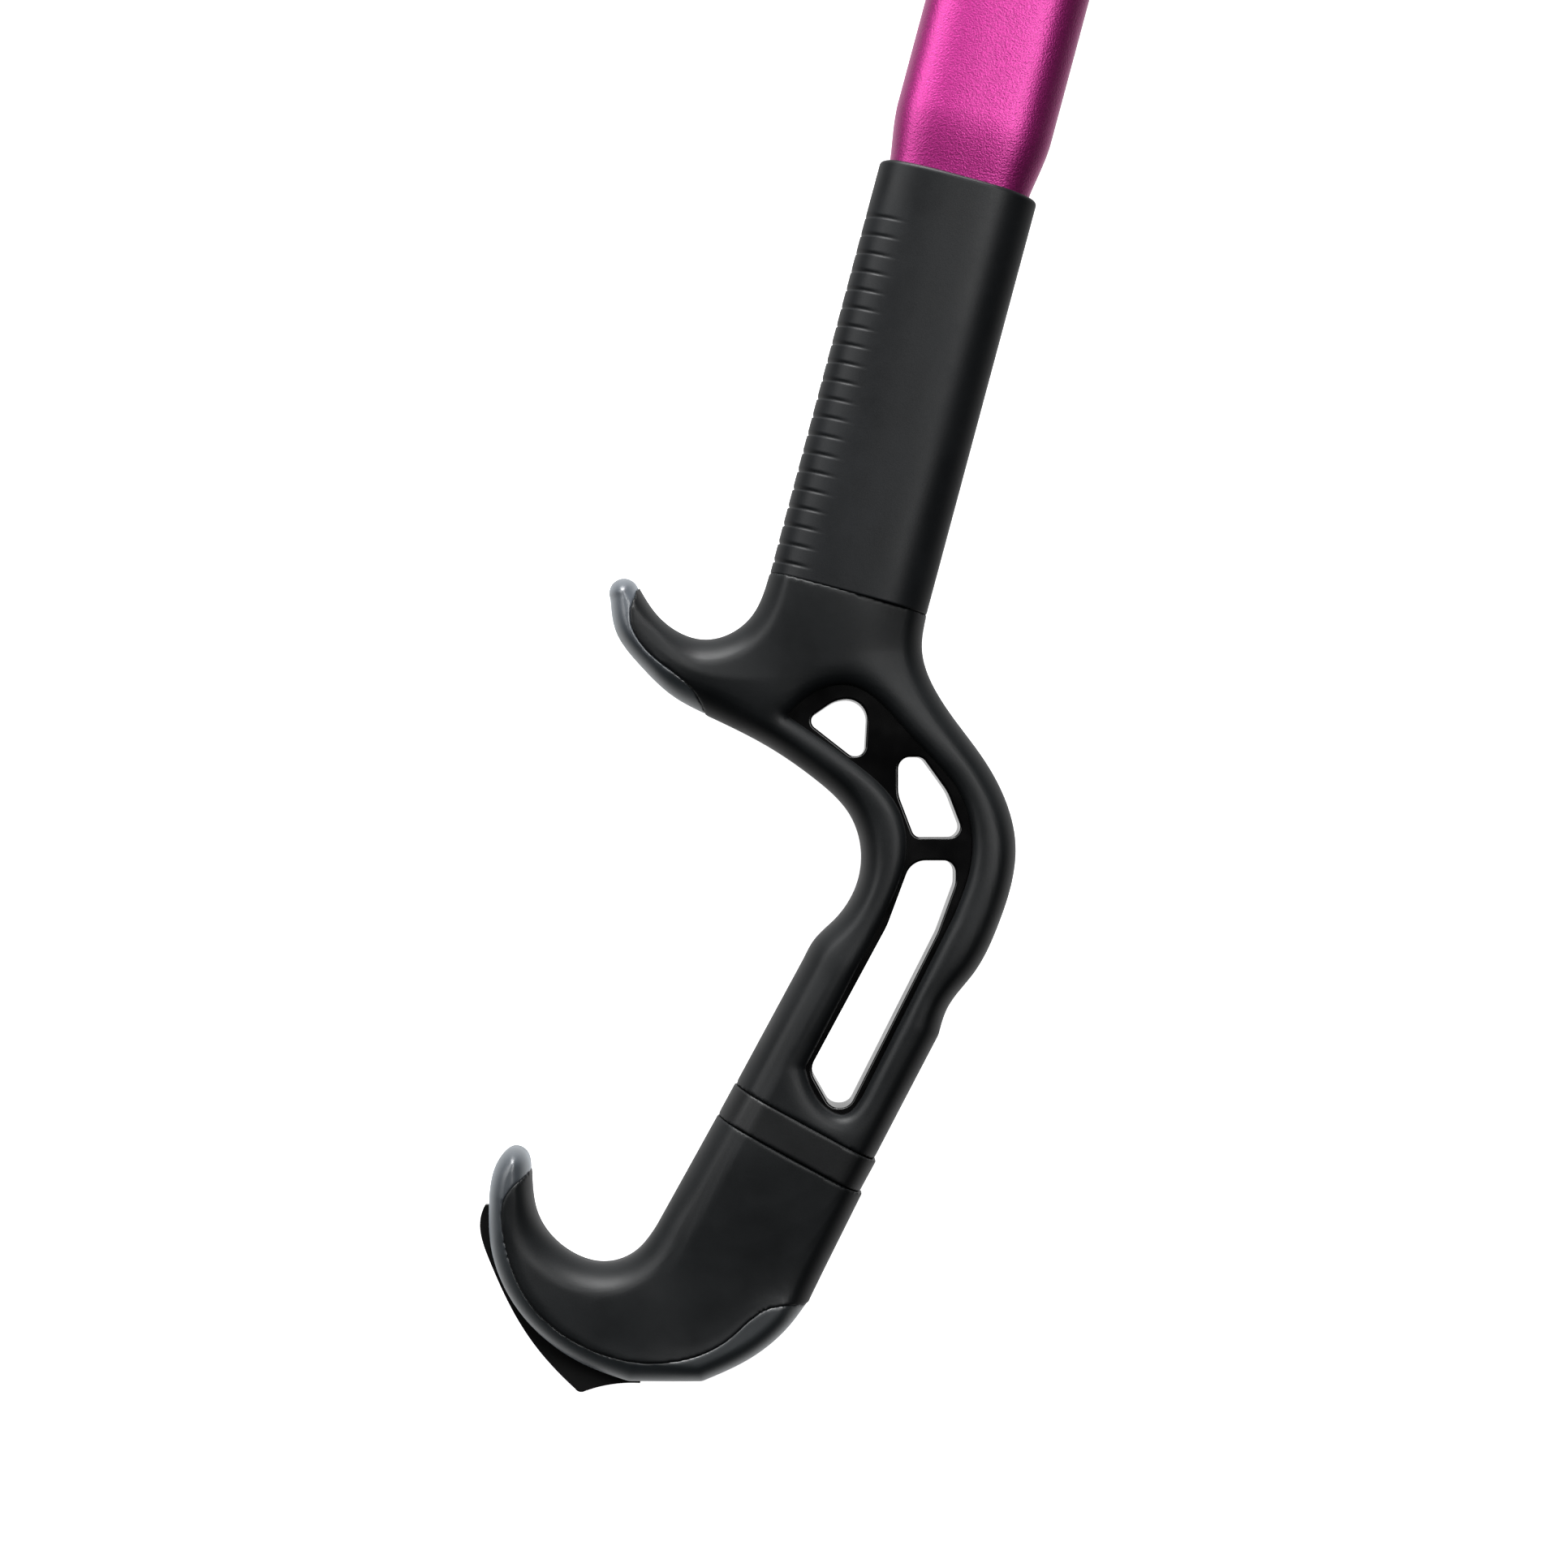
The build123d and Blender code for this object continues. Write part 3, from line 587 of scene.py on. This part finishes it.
def spacer_form(X, Y, zs):
    """The spacer follows the grip's section and stands a little proud of it."""
    across = across_grip(X, Y)
    front, back = SPACER_HALF_WIDTH + across, SPACER_HALF_WIDTH - across
    top = GRIP_HALF + SPACER_PROUD - FRONT_SLOPE * softplus(FRONT_FACET + 0.2 - front, CRISP)
    top = top - BACK_SLOPE * softplus(BACK_FACET + 0.2 - back, 0.6) - crown(across)
    z = zs[None, None, :]
    f = corner(np.minimum(front, back)[:, :, None], z, top[:, :, None], EDGE_ACROSS, EDGE_DOWN)
    along = along_grip(X, Y)
    for end in (along - 0.1, SPACER_THICK - 0.06 - along):
        f = cut_at(f, end, z, top, 0.2, SEAM_ROUND, END_BLEND)
    return f


field_piece("spacer_block", (-20, 46), (26, 80), spacer_form, SPACER, "spacer",
            ["grip_spacer"], voxel=0.4)
field_piece("pommel_rubber", (-76, 0), (24, 72), pommel_rubber, GRIP, "pommel",
            ["pommel_grip"])
field_piece("pommel_cap", (-76, 0), (16, 66), pommel_cap, BUMPER, "pommel",
            ["pommel_bumper"], voxel=0.45)

# ---------------------------------------------------------------- shaft tube and upper sleeve

BEND_START = on_shaft(STRAIGHT_LENGTH)
BEND_CENTRE = point_on(BEND_START, SHAFT_LEAN, 0, -BEND_RADIUS)
BEND_ARC = BEND_RADIUS * math.radians(SHAFT_BEND)


def shaft_axis(along):
    """Point on the tube's axis and the lean there."""
    if along <= STRAIGHT_LENGTH:
        return on_shaft(along), SHAFT_LEAN
    turned = min(along - STRAIGHT_LENGTH, BEND_ARC) / BEND_ARC * SHAFT_BEND
    lean = SHAFT_LEAN - turned
    beyond = max(0.0, along - STRAIGHT_LENGTH - BEND_ARC)
    return point_on(BEND_CENTRE, lean, beyond, BEND_RADIUS), lean


# The upper half of the tube's section, as fractions of its half width and half depth.
RIGHT_SIDE = [(1.0, 0.0), (1.0, 0.32), (0.885, 0.62), (0.71, 0.845), (0.54, 0.955), (0.34, 0.992), (0.0, 1.0)]
LEFT_SIDE = [(-0.2, 0.998), (-0.42, 0.975), (-0.62, 0.915), (-0.80, 0.80), (-0.93, 0.58), (-1.0, 0.28),
             (-1.0, 0.0)]
SECTION_POINTS = 120
TUBE_WALL = 2.0


def soft_section(half_width, half_depth):
    """Points (across, z) at even steps round a section with flat faces and softly turned sides."""
    half = chain(RIGHT_SIDE, LEFT_SIDE) * [half_width, half_depth]
    points = chain(half, half[-2:0:-1] * [1, -1])
    for _ in range(4):
        after = np.roll(points, -1, axis=0)
        points = np.stack([0.75 * points + 0.25 * after, 0.25 * points + 0.75 * after], 1).reshape(-1, 2)
    closed = chain(points, points[:1])
    run = np.concatenate([[0], np.cumsum(np.linalg.norm(np.diff(closed, axis=0), axis=1))])
    even = np.linspace(0, run[-1], SECTION_POINTS, endpoint=False)
    return np.stack([np.interp(even, run, closed[:, 0]), np.interp(even, run, closed[:, 1])], 1)


def ring(along, section):
    """The section's points in the drawing frame at this length along the tube."""
    (x, y), lean = shaft_axis(along)
    side = direction(lean + 90)
    return np.stack([x + section[:, 0] * side[0], y + section[:, 0] * side[1], section[:, 1]], 1)


def loft_piece(name, rings, material, body, nodes):
    """Closed skin through the rings, from the last ring back to the first."""
    rings = np.stack(rings)
    n, count = rings.shape[:2]
    i, j = np.meshgrid(np.arange(n), np.arange(count), indexing="ij")
    i2, j2 = (i + 1) % n, (j + 1) % count
    quads = np.stack([i * count + j, i2 * count + j, i2 * count + j2, i * count + j2], -1).reshape(-1, 4)
    return mesh_piece(name, place(rings.reshape(-1, 3)), quads, material, body, nodes)


def tube_size(along):
    """Half width and half depth of the tube, which swells above the sleeve."""
    wider, deeper = rise(along, 102, 120), rise(along, 96, 121)
    return 17.5 + 2.0 * wider, 10.6 + 2.9 * deeper


def lengths(*runs):
    """Lengths along the tube, from (first, last, count) runs."""
    return np.concatenate([np.linspace(*run) for run in runs])


def shaft_rings():
    """Outer rings up the tube, close together where it swells, then the bore's rings back down."""
    end = STRAIGHT_LENGTH + BEND_ARC + TOP_LENGTH
    stations = lengths((-20, 96, 12), (97, 129, 44), (130, STRAIGHT_LENGTH, 14),
                       (STRAIGHT_LENGTH + 2, end, 60))
    outer, inner = [], []
    for along in stations:
        width, depth = tube_size(along)
        outer.append(ring(along, soft_section(width, depth)))
        inner.append(ring(along, soft_section(width - TUBE_WALL, depth - TUBE_WALL)))
    return outer + inner[::-1]


GROOVE_COUNT, FIRST_GROOVE, GROOVE_PITCH = 20, 3.0, 4.6
GROOVE_DEPTH, LEDGE, SLOPE = 0.5, 0.35, 1.0
GROOVE_START, GROOVE_FULL = -9.5, -15.0   # where the grooves begin and are full, across the sleeve
SLEEVE_HALF_WIDTH, SLEEVE_HALF_DEPTH = 19.9, 14.15
BORE_HALF_WIDTH, BORE_HALF_DEPTH = 18.2, 12.4
SLEEVE_TOP_ROUND, SLEEVE_FOOT_ROUND = 1.1, 0.4


def groove_depth(along):
    """How far the finger ribs' grooves cut in here: a long slope above each ledge, a short one below."""
    depth = 0.0
    for number in range(GROOVE_COUNT):
        up = along - (FIRST_GROOVE + GROOVE_PITCH * number)
        if -LEDGE < up <= 0:
            depth = max(depth, 1 + up / LEDGE)
        elif 0 < up < SLOPE:
            depth = max(depth, (1 - up / SLOPE) ** 1.5)
    return GROOVE_DEPTH * depth


def pulled_in(gap, radius):
    """How far a rounded end lies inside the full section, at this gap from the end."""
    return radius - math.sqrt(max(0.0, radius ** 2 - (radius - gap) ** 2)) if gap < radius else 0.0


def sleeve_rings():
    """Outer rings up the sleeve, close enough for the grooves, then fewer rings back down the bore."""
    stations = np.concatenate([[0.02, 0.10, 0.22, 0.4], np.arange(0.6, SLEEVE_LENGTH - 1.2, 0.23),
                               SLEEVE_LENGTH - np.array([1.1, 0.8, 0.5, 0.25, 0.08, 0.0])])
    outer, inner = [], []
    for along in stations:
        pull = pulled_in(SLEEVE_LENGTH - along, SLEEVE_TOP_ROUND) + pulled_in(along, SLEEVE_FOOT_ROUND)
        section = soft_section(SLEEVE_HALF_WIDTH - pull, SLEEVE_HALF_DEPTH - pull)
        cut = groove_depth(along) * rise(section[:, 0], GROOVE_START, GROOVE_FULL)
        away = section / np.linalg.norm(section * [1, 1.3], axis=1)[:, None]
        outer.append(ring(along, section - away * cut[:, None]))
        inner.append(ring(along, soft_section(BORE_HALF_WIDTH, BORE_HALF_DEPTH)))
    return outer + inner[::-1][:: max(1, len(inner) // 24)]


loft_piece("shaft_skin", shaft_rings(), SHAFT, "tool", ["shaft_tube"])
loft_piece("sleeve_skin", sleeve_rings(), SLEEVE, "tool", ["upper_grip_sleeve"])

# ---------------------------------------------------------------- metal parts with broken edges


def softened(node, name, width_mm, material):
    """A copy of a CAD node with its sharp edges rounded, shown in the node's place."""
    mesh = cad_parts[node].data.copy()
    shape = bmesh.new()
    shape.from_mesh(mesh)
    bmesh.ops.remove_doubles(shape, verts=shape.verts, dist=2e-6)
    bmesh.ops.dissolve_limit(shape, angle_limit=math.radians(0.5), verts=shape.verts, edges=shape.edges)
    shape.to_mesh(mesh)
    shape.free()
    mesh.shade_smooth()
    rough = bpy.data.objects.new(name + "_rough", mesh)
    bpy.context.scene.collection.objects.link(rough)
    bevel = rough.modifiers.new("bevel", "BEVEL")
    bevel.width = width_mm * MM
    bevel.segments = 3
    bevel.limit_method = "ANGLE"
    bevel.angle_limit = math.radians(35)
    bevel.use_clamp_overlap = True
    weighted = rough.modifiers.new("normals", "WEIGHTED_NORMAL")
    weighted.keep_sharp = True
    finished = bpy.data.meshes.new_from_object(rough.evaluated_get(bpy.context.evaluated_depsgraph_get()))
    bpy.data.objects.remove(rough)
    piece = bpy.data.objects.new(name, finished)
    bpy.context.scene.collection.objects.link(piece)
    finished.materials.clear()
    finished.materials.append(material)
    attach(piece, "tool")
    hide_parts(node)
    return piece


for cad_node, new_name, edge_mm, finish, slot_name in [
    ("head", "head_body", 0.9, HEAD, "head_metal"),
    ("pick", "pick_blade", 0.45, PICK, "pick_steel"),
    ("hammer", "hammer_block", 0.8, PICK, "hammer_steel"),
    ("head_bolts", "head_bolt_set", 0.35, DARK_STEEL, "screw_steel"),
    ("head_nuts", "head_nut_set", 0.35, DARK_STEEL, "screw_steel"),
    ("head_rivets", "head_rivet_set", 0.3, STEEL, "rivet_metal"),
]:
    softened(cad_node, new_name, edge_mm, finish)

# ---------------------------------------------------------------- CAD nodes that keep their shape

for node, material in {
    "handle_core": CORE, "pommel_core": CORE, "spike_plate": SPIKE, "guide_rods": STEEL,
    "pommel_screw": DARK_STEEL, "pommel_nut": STEEL, "handle_pins": STEEL, "spike_pins": STEEL,
}.items():
    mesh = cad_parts[node].data
    mesh.materials.clear()
    mesh.materials.append(material)

# ---------------------------------------------------------------- floor, light and camera

VIEW_WIDTH = 386.4                # millimetres across the square view at the mid plane
VIEW_MIDDLE = (0.0, 149.6, 0.0)   # the view's middle in the drawing frame
CAMERA_HEIGHT, SENSOR_WIDTH = 1.0, 36
LIGHT_TARGET = (0, -0.05, 0)
FLOOR_GAP = 0.0005


def studio_floor():
    """A pale lit floor just under the tool, which leaves no trace in reflections."""
    bpy.ops.mesh.primitive_plane_add(size=6, location=(0, 0, cad_bounds[0].z - FLOOR_GAP))
    floor = bpy.context.object
    floor.name = "floor"
    material = bpy.data.materials.new("floor_white")
    material.use_nodes = True
    tree = material.node_tree
    node = tree.nodes["Principled BSDF"]
    node.inputs["Base Color"].default_value = (0.9, 0.9, 0.9, 1)
    node.inputs["Roughness"].default_value = 0.9
    node.inputs["Emission Color"].default_value = (1, 1, 1, 1)
    node.inputs["Emission Strength"].default_value = 1.0
    floor.data.materials.append(material)
    floor.visible_glossy = floor.visible_diffuse = False


def studio_world(below, above):
    """Dim room with a pale glow from below, as a lit table gives."""
    world = bpy.data.worlds.new("studio")
    world.use_nodes = True
    tree = world.node_tree
    where = tree.nodes.new("ShaderNodeTexCoord")
    split = tree.nodes.new("ShaderNodeSeparateXYZ")
    tree.links.new(where.outputs["Generated"], split.inputs["Vector"])
    down = tree.nodes.new("ShaderNodeMath")
    down.operation = "MULTIPLY"
    down.inputs[1].default_value = -1
    tree.links.new(split.outputs["Z"], down.inputs[0])
    glow = ramp(tree, down.outputs["Value"], [(0.2, above), (0.85, below)])
    tree.links.new(glow.outputs["Color"], tree.nodes["Background"].inputs["Color"])
    bpy.context.scene.world = world


def area_light(name, where, size, energy):
    """Soft box at this place, in metres, turned towards the tool."""
    data = bpy.data.lights.new(name, "AREA")
    data.shape = "RECTANGLE"
    data.size, data.size_y = size
    data.energy = energy
    light = bpy.data.objects.new(name, data)
    bpy.context.scene.collection.objects.link(light)
    light.location = where
    light.rotation_euler = (Vector(LIGHT_TARGET) - Vector(where)).to_track_quat("-Z", "Y").to_euler()


def studio():
    studio_floor()
    scene = bpy.context.scene
    studio_world(0.8, 0.015)
    scene.view_settings.view_transform = "Standard"
    area_light("right", (0.47, 0.22, 1.05), (0.75, 0.45), 6.0)
    area_light("left", (-0.95, 0.45, 0.65), (1.0, 0.9), 7)
    area_light("top", (-0.15, 1.35, 0.45), (1.3, 0.7), 44)


def camera():
    """Looks straight down at the handle and the start of the tube."""
    data = bpy.data.cameras.new("camera")
    data.sensor_width = SENSOR_WIDTH
    data.lens = SENSOR_WIDTH * CAMERA_HEIGHT / (VIEW_WIDTH * MM)
    data.clip_end = 20
    eye = bpy.data.objects.new("camera", data)
    bpy.context.scene.collection.objects.link(eye)
    x, y, z = place(VIEW_MIDDLE)
    eye.location = (x, y, z + CAMERA_HEIGHT)
    bpy.context.scene.camera = eye


studio()
camera()
